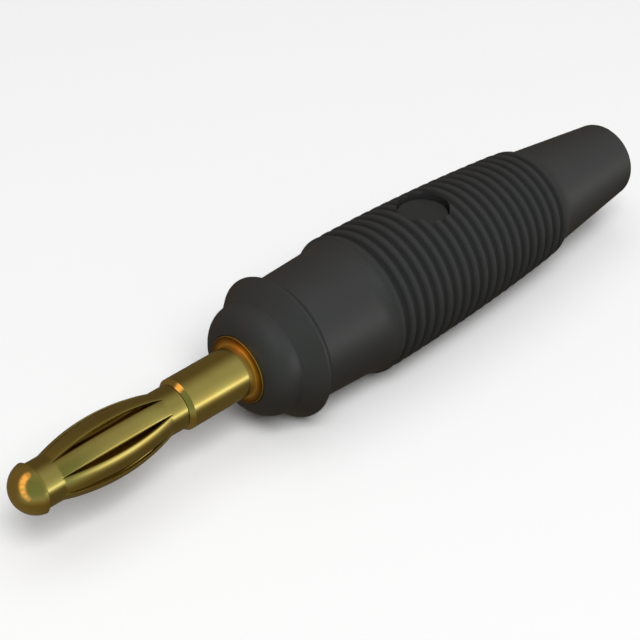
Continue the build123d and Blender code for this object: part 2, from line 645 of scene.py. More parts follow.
@dataclass
class ContactPin(Piece):
    """The turned pin: domed head, stem, shaft, flange, threaded body and wire terminal."""

    setting: ClassVar[Setting] = Setting(NodeName.PIN, Body.CONTACT, Slot.GOLD)
    tip: float
    terminal_end: float
    flange_radius: float
    shoulder: float
    cage_front: float
    screw_place: float
    spring_play: float = 0.05
    shaft_radius: float = 2.0
    shoulder_chamfer: float = 0.35
    head_radius: float = 1.92
    head_lip: float = 0.08
    dome_steps: int = 20
    stem_radius: float = 1.465
    band_radius: float = 1.715
    flange_face: float = -0.1
    flange_end: float = 1.1
    flange_rounding: float = 0.08
    flange_fillet: float = 0.08
    fillet_steps: int = 8
    body_radius: float = 2.5
    thread_end: float = 9.3
    thread_pitch: float = 0.5
    thread_depth: float = 0.26
    thread_run_out: float = 0.4
    terminal_radius: float = 2.2
    terminal_chamfer: float = 0.2
    wire_bore_radius: float = 1.3
    wire_bore_depth: float = 9.6
    drill_point: float = 0.7
    screw_hole_radius: float = 1.25
    screw_hole_segments: int = 48
    segments: int = 144

    @classmethod
    def from_frame(cls) -> "ContactPin":
        """Take the pin's reach, and the spring's and screw's places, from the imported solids.

        Returns:
            The pin with its sizes.
        """
        room = Room.of(NodeName.PIN)
        spring = Room.of(NodeName.SPRING)
        return cls(
            tip=room.low.x,
            terminal_end=room.high.x,
            flange_radius=room.radius,
            shoulder=spring.high.x + cls.spring_play,
            cage_front=spring.low.x - cls.spring_play,
            screw_place=Room.of(NodeName.SCREW).middle,
        )

    def front(self) -> Outline:
        """Draw the outside from the tip over the head, stem, shaft and flange.

        Returns:
            The open outline.
        """
        height = self.cage_front - self.head_lip - self.tip
        dome = (height**2 + self.head_radius**2) / (2 * height)
        spread = degrees(asin(min(1.0, self.head_radius / dome)))
        line = Outline()
        line.arc((self.tip + dome, 0.0), dome, 180.0, 180.0 - spread, self.dome_steps)
        line.to(self.cage_front, self.head_radius - self.head_lip)
        line.to(self.cage_front, self.stem_radius)
        line.to(self.shoulder, self.stem_radius)
        line.to(self.shoulder, self.band_radius)
        line.to(self.shoulder + self.shoulder_chamfer, self.shaft_radius)
        fillet = self.flange_fillet
        corner = (self.flange_face - fillet, self.shaft_radius + fillet)
        line.arc(corner, fillet, 270.0, 360.0, self.fillet_steps)
        line.to(self.flange_face, self.flange_radius, self.flange_rounding)
        line.to(self.flange_end, self.flange_radius, self.flange_rounding)
        line.to(self.flange_end, self.body_radius)
        return line

    def back(self) -> Outline:
        """Draw the outside from the thread's end over the terminal and into the wire bore.

        Returns:
            The open outline.
        """
        line = Outline()
        line.to(self.thread_end - self.body_radius + self.terminal_radius, self.body_radius)
        line.to(self.thread_end, self.terminal_radius)
        line.to(self.terminal_end - self.terminal_chamfer, self.terminal_radius)
        line.to(self.terminal_end, self.terminal_radius - self.terminal_chamfer)
        line.to(self.terminal_end, self.wire_bore_radius, self.terminal_chamfer / 2)
        bore_end = self.terminal_end - self.wire_bore_depth
        line.to(bore_end, self.wire_bore_radius)
        line.to(bore_end - self.drill_point, 0.0)
        return line

    def shape(self) -> bpy.types.Object:
        """Turn the pin with its thread, and drill the tapped hole.

        Returns:
            The bare pin.
        """
        back = self.back().points()
        thread = Thread(
            start=self.flange_end,
            end=back[0][0],
            radius=self.body_radius,
            depth=self.thread_depth,
            pitch=self.thread_pitch,
            run_out=self.thread_run_out,
        )
        turning = Turning(self.segments)
        turning.surface(self.front().points())
        turning.thread(thread)
        turning.surface(back)
        piece = Workshop.place(turning.mesh("ContactPin"))
        hole = drill(
            self.screw_place,
            self.screw_hole_radius,
            self.terminal_radius,
            self.screw_hole_segments,
        )
        Workshop.cut(piece, hole)
        return piece


@dataclass(frozen=True)
class SheetRow:
    """One row across the rolled sheet: how far its points lift, and the tilt of its section."""

    lift: float
    pivot_x: float
    pivot_r: float
    tilt: float

    def place(self, rho: float, angle: float) -> Place:
        """Where a point of the section comes to lie in its strip.

        Args:
            rho: Distance of the point from the rolled sheet's own centre.
            angle: Angle of the point from the strip's middle.

        Returns:
            Place along the axis, across the strip and away from the axis.
        """
        height = self.lift + rho * cos(angle) - self.pivot_r
        return (
            self.pivot_x + height * sin(self.tilt),
            rho * sin(angle),
            self.pivot_r + height * cos(self.tilt),
        )

    def mirrored(self, middle: float) -> "SheetRow":
        """The same row at the sheet's other end."""
        return SheetRow(self.lift, 2 * middle - self.pivot_x, self.pivot_r, -self.tilt)


@dataclass
class SpringCage(Piece):
    """The lantern spring: a rolled sheet with bowed strips between two plain bands."""

    setting: ClassVar[Setting] = Setting(NodeName.SPRING, Body.SPRING, Slot.GOLD)
    front: float
    back: float
    bulge_radius: float = 2.425
    band_radius: float = 1.715
    thickness: float = 0.2
    bulge_length: float = 9.63
    blend_radius: float = 0.5
    strips: int = 8
    slit: float = 0.045
    turn: float = radians(15.5)
    edge_rounding: float = 0.03
    edge_row: float = 0.06
    last_flat_row: float = 0.2
    band_rows: int = 3
    blend_rows: int = 6
    crown_rows: int = 32
    strip_columns: int = 14

    @classmethod
    def from_frame(cls) -> "SpringCage":
        """Take the spring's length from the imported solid."""
        room = Room.of(NodeName.SPRING)
        return cls(front=room.low.x, back=room.high.x)

    @property
    def across(self) -> int:
        """Number of points across one strip."""
        return self.strip_columns + 1

    @property
    def columns(self) -> int:
        """Number of points round the whole sheet."""
        return self.strips * self.across

    def rows(self) -> list[SheetRow]:
        """Lay out the rows from the front band over the bowed strips to the back band.

        Returns:
            The rows in order.
        """
        middle = (self.front + self.back) / 2
        half = self.bulge_length / 2
        rise = self.bulge_radius - self.band_radius
        distance = (half**2 + rise**2) / (2 * rise)
        crown = distance - self.blend_radius
        bend = asin(half / distance)
        start = middle - half
        band = (self.front, self.front + self.edge_row, start - self.last_flat_row)
        end_rows = [SheetRow(0.0, x, 0.0, 0.0) for x in band]
        for step in range(self.blend_rows):
            tilt = -bend * step / self.blend_rows
            end_rows.append(SheetRow(0.0, start, self.band_radius + self.blend_radius, tilt))
        bowed_rows: list[SheetRow] = []
        for step in range(self.crown_rows + 1):
            tilt = bend * (2 * step / self.crown_rows - 1)
            bowed_rows.append(SheetRow(rise, middle, self.bulge_radius - crown, tilt))
        return end_rows + bowed_rows + [row.mirrored(middle) for row in reversed(end_rows)]

    def _vertices(self, rows: list[SheetRow]) -> list[Place]:
        """Place the points of the sheet's outer face.

        Args:
            rows: The sheet's rows.

        Returns:
            The points in metres, row by row.
        """
        half_angle = pi / self.strips - self.slit / self.band_radius / 2
        found: list[Place] = []
        for row in rows:
            for column in range(self.columns):
                strip, number = divmod(column, self.across)
                angle = half_angle * (2 * number / self.strip_columns - 1)
                x, side, height = row.place(self.band_radius, angle)
                centre = self.turn + (strip + 0.5) * 2 * pi / self.strips
                y = -side * cos(centre) - height * sin(centre)
                z = height * cos(centre) - side * sin(centre)
                found.append(metres(x, y, z))
        return found

    def _faces(self, row_count: int) -> list[tuple[int, ...]]:
        """Join the points, with the slits left open and the seam along one of them.

        Args:
            row_count: Number of rows in the sheet.

        Returns:
            The faces as numbers of their points.
        """
        seam = self.strips // 2 * self.across - 1
        runs = row_count - 1
        found: list[tuple[int, ...]] = []
        for run in range(runs):
            in_band = run < self.band_rows or run >= runs - self.band_rows
            near, far = run * self.columns, (run + 1) * self.columns
            for column in range(self.columns):
                at_slit = (column + 1) % self.across == 0
                if at_slit and (not in_band or column == seam):
                    continue
                after = (column + 1) % self.columns
                found.append((near + column, near + after, far + after, far + column))
        return found

    def shape(self) -> bpy.types.Object:
        """Roll the sheet, give it its thickness and round its edges.

        Returns:
            The bare spring.
        """
        rows = self.rows()
        sheet = bpy.data.meshes.new("SpringCage")
        sheet.from_pydata(self._vertices(rows), [], self._faces(len(rows)))
        piece = Workshop.place(sheet)
        wall = piece.modifiers.new("wall", "SOLIDIFY")
        wall.thickness = self.thickness * MILLIMETRE
        wall.offset = -1.0
        wall.use_even_offset = True
        Workshop.soften(piece, self.edge_rounding)
        Workshop.bake_modifiers(piece)
        return piece


@dataclass
class ClampScrew(Piece):
    """The slotted grub screw in the terminal."""

    setting: ClassVar[Setting] = Setting(NodeName.SCREW, Body.SCREW, Slot.STEEL)
    place: float
    top: float
    bottom: float
    radius: float
    point_chamfer: float = 0.3
    thread_pitch: float = 0.35
    thread_depth: float = 0.15
    thread_run_out: float = 0.12
    slot_width: float = 0.45
    slot_depth: float = 0.6
    edge: float = 0.06
    segments: int = 64

    @classmethod
    def from_frame(cls) -> "ClampScrew":
        """Take the screw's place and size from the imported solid."""
        room = Room.of(NodeName.SCREW)
        radius = (room.high.x - room.low.x) / 2
        return cls(place=room.middle, top=room.high.z, bottom=room.low.z, radius=radius)

    def driver_slot(self) -> bpy.types.Mesh:
        """Make the form of the slot across the screw's top.

        Returns:
            The form to cut away.
        """
        work = bmesh.new()
        bmesh.ops.create_cube(work, size=1.0)
        slot = settle(work, bpy.data.meshes.new("slot"))
        size = Matrix.Diagonal((3 * self.radius, self.slot_width, 2 * self.slot_depth, 1.0))
        top = Matrix.Translation((self.place, 0.0, self.top))
        slot.transform(Matrix.Scale(MILLIMETRE, 4) @ top @ size)
        return slot

    def shape(self) -> bpy.types.Object:
        """Turn the screw with its thread, and cut its slot.

        Returns:
            The bare screw.
        """
        thread = Thread(
            start=self.bottom + self.point_chamfer,
            end=self.top - self.edge,
            radius=self.radius,
            depth=self.thread_depth,
            pitch=self.thread_pitch,
            run_out=self.thread_run_out,
        )
        point_radius = self.radius - self.point_chamfer
        point = [(self.bottom, 0.0), (self.bottom, point_radius), (thread.start, self.radius)]
        top = [(thread.end, self.radius), (self.top, self.radius - self.edge), (self.top, 0.0)]
        turning = Turning(self.segments)
        turning.surface(point)
        turning.thread(thread)
        turning.surface(top)
        piece = Workshop.place(turning.upright("ClampScrew", self.place))
        Workshop.cut(piece, self.driver_slot())
        return piece


@dataclass(frozen=True)
class Noise:
    """Cloudy noise: cells per millimetre, number of finer layers and their strength."""

    scale: float
    detail: float = 2.0
    roughness: float = 0.5


class Flow:
    """A number or vector in a node tree, on which plain arithmetic adds nodes.

    Colours are mixed by the bench, because arithmetic nodes would turn them grey.
    """

    def __init__(self, bench: "Bench", socket: bpy.types.NodeSocket) -> None:
        """Wrap a socket.

        Args:
            bench: The tree's bench, which adds nodes.
            socket: The output that carries the value.
        """
        self.bench = bench
        self.socket = socket

    def _join(self, operation: str, first: Operand, second: Operand) -> "Flow":
        """Combine two operands by the node that suits their kind.

        Args:
            operation: Name of the operation.
            first: Left operand.
            second: Right operand.

        Returns:
            The result.
        """
        kinds = [item.socket.type for item in (first, second) if isinstance(item, Flow)]
        kind = "ShaderNodeVectorMath" if "VECTOR" in kinds else "ShaderNodeMath"
        return self.bench.node(kind, {"operation": operation}, {0: first, 1: second})

    def __add__(self, other: Operand) -> "Flow":
        """Add."""
        return self._join("ADD", self, other)

    def __radd__(self, other: Operand) -> "Flow":
        """Add, with this value on the right."""
        return self._join("ADD", other, self)

    def __sub__(self, other: Operand) -> "Flow":
        """Subtract."""
        return self._join("SUBTRACT", self, other)

    def __rsub__(self, other: Operand) -> "Flow":
        """Subtract this value from another."""
        return self._join("SUBTRACT", other, self)

    def __mul__(self, other: Operand) -> "Flow":
        """Multiply."""
        return self._join("MULTIPLY", self, other)

    def __rmul__(self, other: Operand) -> "Flow":
        """Multiply, with this value on the right."""
        return self._join("MULTIPLY", other, self)

    def __truediv__(self, other: Operand) -> "Flow":
        """Divide."""
        return self._join("DIVIDE", self, other)

    def __rtruediv__(self, other: Operand) -> "Flow":
        """Divide another value by this one."""
        return self._join("DIVIDE", other, self)

    def most(self, other: Operand) -> "Flow":
        """The larger of two values."""
        return self._join("MAXIMUM", self, other)

    def ramp(self, low: float, high: float, to_low: float = 0.0, to_high: float = 1.0) -> "Flow":
        """Ease smoothly from one value to another.

        Args:
            low: Where the change starts.
            high: Where it ends.
            to_low: Result before the change.
            to_high: Result after it.

        Returns:
            The eased value.
        """
        settings = {"interpolation_type": "SMOOTHSTEP"}
        inputs = {"Value": self, "From Min": low, "From Max": high, "To Min": to_low, "To Max": to_high}
        return self.bench.node("ShaderNodeMapRange", settings, inputs)

    def part(self, name: str) -> "Flow":
        """One of X, Y and Z of a vector."""
        return self.bench.node("ShaderNodeSeparateXYZ", {}, {0: self}, name)

    def length(self) -> "Flow":
        """Length of a vector."""
        return self.bench.node("ShaderNodeVectorMath", {"operation": "LENGTH"}, {0: self}, "Value")

    def dot(self, other: "Flow") -> "Flow":
        """Dot product of two vectors."""
        settings = {"operation": "DOT_PRODUCT"}
        return self.bench.node("ShaderNodeVectorMath", settings, {0: self, 1: other}, "Value")


class Bench:
    """Builds the nodes of one material or world."""

    def __init__(self, tree: bpy.types.NodeTree) -> None:
        """Clear a tree and start on it.

        Args:
            tree: The node tree.
        """
        self.tree = tree
        tree.nodes.clear()

    def node(
        self,
        kind: str,
        settings: dict[str, object] | None = None,
        inputs: dict[str | int, object] | None = None,
        output: str | int = 0,
    ) -> Flow:
        """Add one node.

        Args:
            kind: The node's type.
            settings: Values set on the node first, a ramp's stops among them.
            inputs: Values or links of its sockets, by identifier, name or number.
            output: The output that is wanted.

        Returns:
            The wanted output, or the first input of a node that has no outputs.
        """
        made = self.tree.nodes.new(kind)
        for name, value in (settings or {}).items():
            if name == "stops":
                self._set_stops(made.color_ramp, value)
            else:
                setattr(made, name, value)
        for name, value in (inputs or {}).items():
            self._feed(self._find(made.inputs, name), value)
        sockets = made.outputs if len(made.outputs) else made.inputs
        return Flow(self, self._find(sockets, output))

    def _feed(self, socket: bpy.types.NodeSocket, value: object) -> None:
        """Link a socket to a flow, or set it to a plain value.

        Args:
            socket: The input.
            value: A flow, number, colour or vector. One number fills every part of a vector.
        """
        if isinstance(value, Flow):
            self.tree.links.new(value.socket, socket)
        elif socket.type == "RGBA" and isinstance(value, tuple):
            socket.default_value = (*value, 1.0)
        elif socket.type == "VECTOR" and isinstance(value, (int, float)):
            socket.default_value = (value,) * len(socket.default_value)
        else:
            socket.default_value = value

    @staticmethod
    def _find(sockets: bpy.types.bpy_prop_collection, name: str | int) -> bpy.types.NodeSocket:
        """A socket by number, identifier or name."""
        matches = [socket for socket in sockets if socket.identifier == name]
        return matches[0] if matches else sockets[name]

    @staticmethod
    def _set_stops(ramp: bpy.types.ColorRamp, stops: Stops) -> None:
        """Give a colour ramp its stops.

        Args:
            ramp: The ramp.
            stops: Places and colours, in order.
        """
        while len(ramp.elements) > 1:
            ramp.elements.remove(ramp.elements[-1])
        ramp.elements[0].position = stops[0][0]
        ramp.elements[0].color = (*stops[0][1], 1.0)
        for place, tint in stops[1:]:
            ramp.elements.new(place).color = (*tint, 1.0)

    @cached_property
    def where(self) -> Flow:
        """The surface point in the piece's own frame, in millimetres."""
        return self.node("ShaderNodeTexCoord", output="Object") * (1 / MILLIMETRE)

    @cached_property
    def along(self) -> Flow:
        """The point's place along the plug."""
        return self.where.part("X")

    @cached_property
    def outward(self) -> Flow:
        """The way from the plug's axis straight out to the point."""
        return self.where * (0.0, 1.0, 1.0)

    def light_path(self, ray: str) -> Flow:
        """1 where a kind of ray is being followed, and 0 elsewhere."""
        return self.node("ShaderNodeLightPath", output=f"Is {ray} Ray")

    def vector(self, x: Operand, y: Operand, z: Operand) -> Flow:
        """A vector of three values."""
        return self.node("ShaderNodeCombineXYZ", {}, {0: x, 1: y, 2: z})

    def noise(self, kind: Noise, where: Flow | None = None) -> Flow:
        """Cloudy noise between 0 and 1.

        Args:
            kind: Scale and layers of the noise.
            where: The point, which is the surface point where none is given.

        Returns:
            The noise value.
        """
        inputs = {
            "Vector": where or self.where,
            "Scale": kind.scale,
            "Detail": kind.detail,
            "Roughness": kind.roughness,
        }
        return self.node("ShaderNodeTexNoise", {"noise_dimensions": "3D"}, inputs)

    def blend(self, share: Operand, first: Operand, second: Operand) -> Flow:
        """Mix two colours.

        Args:
            share: How much of the second colour.
            first: First colour.
            second: Second colour.

        Returns:
            The mixed colour.
        """
        settings = {"data_type": "RGBA", "blend_type": "MIX"}
        inputs = {"Factor_Float": share, "A_Color": first, "B_Color": second}
        return self.node("ShaderNodeMix", settings, inputs, "Result_Color")

    def colour_along(self, stops: Stops, share: Flow) -> Flow:
        """Colour at a share of the way along a row of colour stops."""
        return self.node("ShaderNodeValToRGB", {"stops": stops}, {"Fac": share}, "Color")

    def bump(self, height: Flow, depth: float) -> Flow:
        """Normals of a relief.

        Args:
            height: Height between 0 and 1.
            depth: Depth of the relief in millimetres.

        Returns:
            The normal.
        """
        inputs = {"Height": height, "Distance": depth * MILLIMETRE, "Strength": 1.0}
        return self.node("ShaderNodeBump", {}, inputs)

    def surface(self, values: dict[str | int, object]) -> None:
        """Finish a material with one principled shader.

        Args:
            values: Values or links of the shader's sockets.
        """
        shader = self.node("ShaderNodeBsdfPrincipled", {}, values)
        self.node("ShaderNodeOutputMaterial", {}, {"Surface": shader})


class Finish:
    """A finish that draws the nodes of its own material."""

    name: str

    def draw(self, bench: Bench) -> None:
        """Build the nodes.

        Args:
            bench: Bench of the material's tree.
        """
        raise NotImplementedError

    def material(self) -> bpy.types.Material:
        """Make the finish into a material.

        Returns:
            The material.
        """
        made = bpy.data.materials.new(self.name)
        made.use_nodes = True
        self.draw(Bench(made.node_tree))
        return made


@dataclass(frozen=True)
class MouldedPlastic(Finish):
    """Black satin plastic with a fine moulded grain and slight flow marks, with painted shade in the
    grooves and painted sheen as a lighter colour off the grip.
    """

    name: ClassVar[str] = "black_moulded_plastic"
    sleeve: Sleeve
    # Painted sheen: the smooth parts are lighter in colour than the grip, standing in for their
    # brighter sheen.
    colour: Tint = (0.0276, 0.0279, 0.0286)
    worn_colour: Tint = (0.0301, 0.0304, 0.0311)
    grip_colour: Tint = (0.0260, 0.0263, 0.0269)
    # Painted shade: the grooves' dark colour stands in for the shade that falls in them.
    painted_groove_shade_colour: Tint = (0.0110, 0.0112, 0.0116)
    specular: float = 1.0
    specular_tint: Tint = (0.90, 0.96, 1.0)
    roughness: float = 0.45
    grip_roughness: float = 0.22
    cloud_roughness: float = 0.10
    grain_roughness: float = 0.08
    grip_lead: float = 0.15
    grip_tail: float = 0.20
    grip_fade: float = 0.4
    groove_depths: Point = (0.06, 0.36)
    hole_edge: Point = (0.04, 0.01)
    # Share of the grooves' painted shade that the side hole and its stopper keep.
    hole_shade_share: float = 0.35
    clouds: Noise = Noise(0.35, 3.0)
    cloud_levels: Point = (0.35, 0.75)
    grain: Noise = Noise(14.0, 2.0, 0.6)
    grain_depth: float = 0.006

    def _painted_groove_shade(self, bench: Bench, grip_start: float) -> Flow:
        """How much painted shade a point takes in the grooves, less in the side hole.

        Args:
            bench: Bench of the material's tree.
            grip_start: Where the grip's finish starts along the plug.

        Returns:
            A share between 0 and 1.
        """
        sleeve = self.sleeve
        back = bench.along - grip_start
        crest = sleeve.grip_front_radius - back * back / (2 * sleeve.barrel_radius)
        depth = crest - bench.outward.length()
        ahead = bench.along - sleeve.side_hole_place
        beside = bench.vector(ahead, bench.where.part("Y"), 0.0).length()
        outer, inner = (sleeve.side_hole_radius + margin for margin in self.hole_edge)
        in_hole = beside.ramp(outer, inner) * bench.where.part("Z").ramp(0.0, 1.0)
        return depth.ramp(*self.groove_depths) * in_hole.ramp(0.0, 1.0, 1.0, self.hole_shade_share)

    def draw(self, bench: Bench) -> None:
        """Build the nodes.

        Args:
            bench: Bench of the material's tree.
        """
        cloud = bench.noise(self.clouds)
        grain = bench.noise(self.grain)
        start = self.sleeve.grip_start - self.grip_lead
        end = self.sleeve.grip_start + self.sleeve.grip_length + self.grip_tail
        after_start = bench.along.ramp(start - self.grip_fade, start)
        grip = after_start * bench.along.ramp(end + self.grip_fade, end)
        worn = bench.blend(cloud.ramp(*self.cloud_levels), self.colour, self.worn_colour)
        # Painted sheen: off the grip the colour stays lighter than on it.
        plain = bench.blend(grip, worn, self.grip_colour)
        # Painted shade in the grip's grooves, deeper towards their bottoms.
        groove = grip * self._painted_groove_shade(bench, start)
        roughness = self.roughness + (cloud - 0.5) * self.cloud_roughness
        roughness = roughness + (grain - 0.5) * self.grain_roughness
        bench.surface(
            {
                "Base Color": bench.blend(groove, plain, self.painted_groove_shade_colour),
                "Roughness": roughness + grip * self.grip_roughness,
                "Specular IOR Level": self.specular,
                "Specular Tint": self.specular_tint,
                "Normal": bench.bump(grain, self.grain_depth),
            }
        )


@dataclass(frozen=True)
class GoldPlating(Finish):
    """Bright gold-coloured plating over worked metal."""

    colour: Tint
    deep_colour: Tint
    # Painted shade: the colour given to faces that lie in shade.
    shaded_colour: Tint = (0.62, 0.48, 0.14)
    roughness: float = 0.17
    mark_roughness: float = 0.06
    mark_noise: Noise = Noise(1.0, 3.0, 0.65)
    mark_depth: float = 0.0012
    clouds: Noise = Noise(0.45)
    cloud_levels: Point = (0.3, 0.8)

    def marks(self, bench: Bench) -> Flow:
        """The point, drawn out along the marks that working has left."""
        raise NotImplementedError

    def details(self, bench: Bench, looks: dict[str, Flow]) -> None:
        """Change the looks with painted shade, and on the pin with a painted reflection too."""
        raise NotImplementedError

    def draw(self, bench: Bench) -> None:
        """Build the nodes.

        Args:
            bench: Bench of the material's tree.
        """
        marks = bench.noise(self.mark_noise, self.marks(bench))
        cloud = bench.noise(self.clouds)
        looks = {
            "Base Color": bench.blend(cloud.ramp(*self.cloud_levels), self.colour, self.deep_colour),
            "Roughness": self.roughness + (marks - 0.5) * self.mark_roughness,
        }
        self.details(bench, looks)
        bench.surface({**looks, "Metallic": 1.0, "Normal": bench.bump(marks, self.mark_depth)})


@dataclass(frozen=True)
class TurnedGold(GoldPlating):
    """Plating on the turned pin, with painted shade on the stem and a painted reflection and shade on
    the flange inside the opening.
    """

    name: ClassVar[str] = "gold_plating_turned"
    colour: Tint = (0.90, 0.765, 0.235)
    deep_colour: Tint = (0.86, 0.665, 0.190)
    marks_per_millimetre: float = 9.0
    stem_edge: Point = (1.56, 1.52)
    stem_front: Point = (-18.6, -18.5)
    stem_back: Point = (0.0, -1.0)
    seat_front: Point = (-0.70, -0.55)
    seat_back: Point = (0.6, 0.4)
    seat_roughness: float = 0.30
    # Painted reflection and shade on the flange's seat, by radius: an orange glow by the shaft, a dark
    # ring and a lighter rim.
    painted_seat_stops: Stops = (
        (1.90, (0.95, 0.68, 0.18)),
        (2.10, (0.95, 0.66, 0.17)),
        (2.30, (0.62, 0.34, 0.05)),
        (2.60, (0.20, 0.10, 0.015)),
        (2.66, (0.60, 0.45, 0.12)),
    )

    def marks(self, bench: Bench) -> Flow:
        """The point, drawn out round the axis."""
        return bench.vector(bench.along, bench.outward.length(), 0.0) * self.marks_per_millimetre

    def details(self, bench: Bench, looks: dict[str, Flow]) -> None:
        """Paint a reflection and shade on the flange's seat by radius, and paint shade on the stem
        under the spring.

        Args:
            bench: Bench of the material's tree.
            looks: The plating's links by socket, which this changes.
        """
        away = bench.outward.length()
        # Painted reflection and shade on the flange's seat, by radius.
        low, high = self.painted_seat_stops[0][0], self.painted_seat_stops[-1][0]
        stops = tuple(((radius - low) / (high - low), tint) for radius, tint in self.painted_seat_stops)
        seat = bench.colour_along(stops, (away - low) / (high - low))
        on_seat = bench.along.ramp(*self.seat_front) * bench.along.ramp(*self.seat_back)
        # Painted shade on the stem under the spring.
        on_stem = bench.along.ramp(*self.stem_front) * bench.along.ramp(*self.stem_back)
        shaded = away.ramp(*self.stem_edge) * on_stem
        with_painted_seat = bench.blend(on_seat, looks["Base Color"], seat)
        looks["Base Color"] = bench.blend(shaded, with_painted_seat, self.shaded_colour)
        looks["Roughness"] = looks["Roughness"] + on_seat * self.seat_roughness


@dataclass(frozen=True)
class RolledGold(GoldPlating):
    """Plating on the rolled spring, with painted shade on the faces that look inward."""

    name: ClassVar[str] = "gold_plating_rolled"
    colour: Tint = (0.81, 0.70, 0.215)
    deep_colour: Tint = (0.78, 0.61, 0.175)
    marks_per_millimetre: Place = (0.25, 7.0, 7.0)
    inward: Point = (0.5, -0.2)

    def marks(self, bench: Bench) -> Flow:
        """The point, drawn out along the strips."""
        return bench.where * self.marks_per_millimetre

    def details(self, bench: Bench, looks: dict[str, Flow]) -> None:
        """Paint shade on the faces that look towards the axis.

        Args:
            bench: Bench of the material's tree.
            looks: The plating's links by socket, which this changes.
        """
        # Painted shade on the faces that look towards the axis.
        normal = bench.node("ShaderNodeTexCoord", output="Normal")
        shaded = normal.dot(bench.outward).ramp(*self.inward)
        looks["Base Color"] = bench.blend(shaded, looks["Base Color"], self.shaded_colour)


@dataclass(frozen=True)
class BrightSteel(Finish):
    """Plain bright steel with fine turning marks."""

    name: ClassVar[str] = "bright_steel"
    colour: Tint = (0.60, 0.60, 0.58)
    dull_colour: Tint = (0.48, 0.48, 0.47)
    dull_levels: Point = (0.3, 0.7)
    roughness: float = 0.30
    mark_roughness: float = 0.12
    mark_noise: Noise = Noise(9.0, 3.0, 0.6)
    mark_depth: float = 0.003

    def draw(self, bench: Bench) -> None:
        """Build the nodes.

        Args:
            bench: Bench of the material's tree.
        """
        marks = bench.noise(self.mark_noise)
        bench.surface(
            {
                "Base Color": bench.blend(marks.ramp(*self.dull_levels), self.colour, self.dull_colour),
                "Metallic": 1.0,
                "Roughness": self.roughness + (marks - 0.5) * self.mark_roughness,
                "Normal": bench.bump(marks, self.mark_depth),
            }
        )


@dataclass(frozen=True)
class PaleFloor(Finish):
    """Pale matt floor that fades to white far away and throws little light back."""

    name: ClassVar[str] = "pale_floor"
    colour: Tint = (0.97, 0.97, 0.97)
    bounce: Tint = (0.20, 0.20, 0.20)
    fade: Point = (90.0, 330.0)
    roughness: float = 0.9
    grain: Noise = Noise(0.8)
    grain_depth: float = 0.002

    def draw(self, bench: Bench) -> None:
        """Build the nodes.

        Args:
            bench: Bench of the material's tree.
        """
        grain = bench.noise(self.grain)
        seen = bench.light_path("Camera").most(bench.light_path("Glossy"))
        seen = seen.most(bench.light_path("Transmission"))
        far = seen * bench.where.length().ramp(*self.fade)
        bench.surface(
            {
                "Base Color": bench.blend(far, bench.blend(seen, self.bounce, self.colour), BLACK),
                "Emission Color": bench.blend(far, BLACK, WHITE),
                "Emission Strength": 1.0,
                "Roughness": self.roughness,
                "Specular IOR Level": 0.0,
                "Normal": bench.bump(grain, self.grain_depth),
            }
        )


@dataclass(frozen=True)
class WhiteBackdrop(Finish):
    """Plain white surround."""

    name: ClassVar[str] = "white_backdrop"

    def draw(self, bench: Bench) -> None:
        """Build the nodes.

        Args:
            bench: Bench of the material's tree.
        """
        white = bench.node("ShaderNodeEmission", {}, {"Color": WHITE, "Strength": 1.0})
        bench.node("ShaderNodeOutputMaterial", {}, {"Surface": white})


@dataclass(frozen=True)
class Surroundings:
    """World that metal reflects: a grey sky to the front, a bright low band and a dark ground."""

    front_sky: Stops = (
        (0.00, (0.090, 0.072, 0.050)),
        (0.26, (0.090, 0.073, 0.051)),
        (0.335, (0.15, 0.125, 0.092)),
        (0.395, (0.31, 0.275, 0.22)),
        (0.44, (0.74, 0.70, 0.64)),
        (0.475, (1.25, 1.22, 1.20)),
        (0.505, (1.20, 1.17, 1.13)),
        (0.55, (0.66, 0.65, 0.56)),
        (0.60, (0.50, 0.49, 0.41)),
        (0.67, (0.40, 0.40, 0.35)),
        (0.79, (0.31, 0.315, 0.28)),
        (1.00, (0.28, 0.27, 0.24)),
    )
    tip_sky: Stops = (
        (0.00, (0.120, 0.095, 0.060)),
        (0.15, (0.125, 0.092, 0.050)),
        (0.25, (0.190, 0.160, 0.110)),
        (0.37, (0.250, 0.260, 0.230)),
        (0.50, (0.190, 0.220, 0.180)),
        (0.63, (0.160, 0.195, 0.145)),
        (0.93, (0.170, 0.190, 0.150)),
        (1.00, (0.220, 0.220, 0.175)),
    )
    tail_sky: Tint = (0.235, 0.235, 0.22)
    back_sky: Tint = (0.095, 0.073, 0.052)
    back_tip_sky: Tint = (0.14, 0.105, 0.075)
    plain_sky: Tint = (0.16, 0.16, 0.16)
    front_edge: Point = (0.58, -0.35)
    tip_edge: Point = (0.42, -0.15)
    tail_edge: Point = (0.75, 1.0)

    def build(self) -> None:
        """Draw the world."""
        world = bpy.data.worlds.new("surroundings")
        bpy.context.scene.world = world
        world.use_nodes = True
        bench = Bench(world.node_tree)
        way = bench.node("ShaderNodeTexCoord", output="Generated")
        level = way.part("Z") * 0.5 + 0.5
        at_front = way.part("Y").ramp(*self.front_edge)
        at_tip = way.part("X").ramp(*self.tip_edge)
        at_tail = way.part("X").ramp(*self.tail_edge)
        front = bench.blend(at_tail, bench.colour_along(self.front_sky, level), self.tail_sky)
        front = bench.blend(at_tip, front, bench.colour_along(self.tip_sky, level))
        back = bench.blend(at_tip, self.back_sky, self.back_tip_sky)
        reflected = bench.blend(at_front, back, front)
        colour = bench.blend(bench.light_path("Diffuse"), reflected, self.plain_sky)
        sky = bench.node("ShaderNodeBackground", {}, {"Color": colour, "Strength": 1.0})
        bench.node("ShaderNodeOutputWorld", {}, {"Surface": sky})


class LampShape(str, Enum):
    """Outlines that a soft lamp can have."""

    SQUARE = "SQUARE"
    ROUND = "DISK"


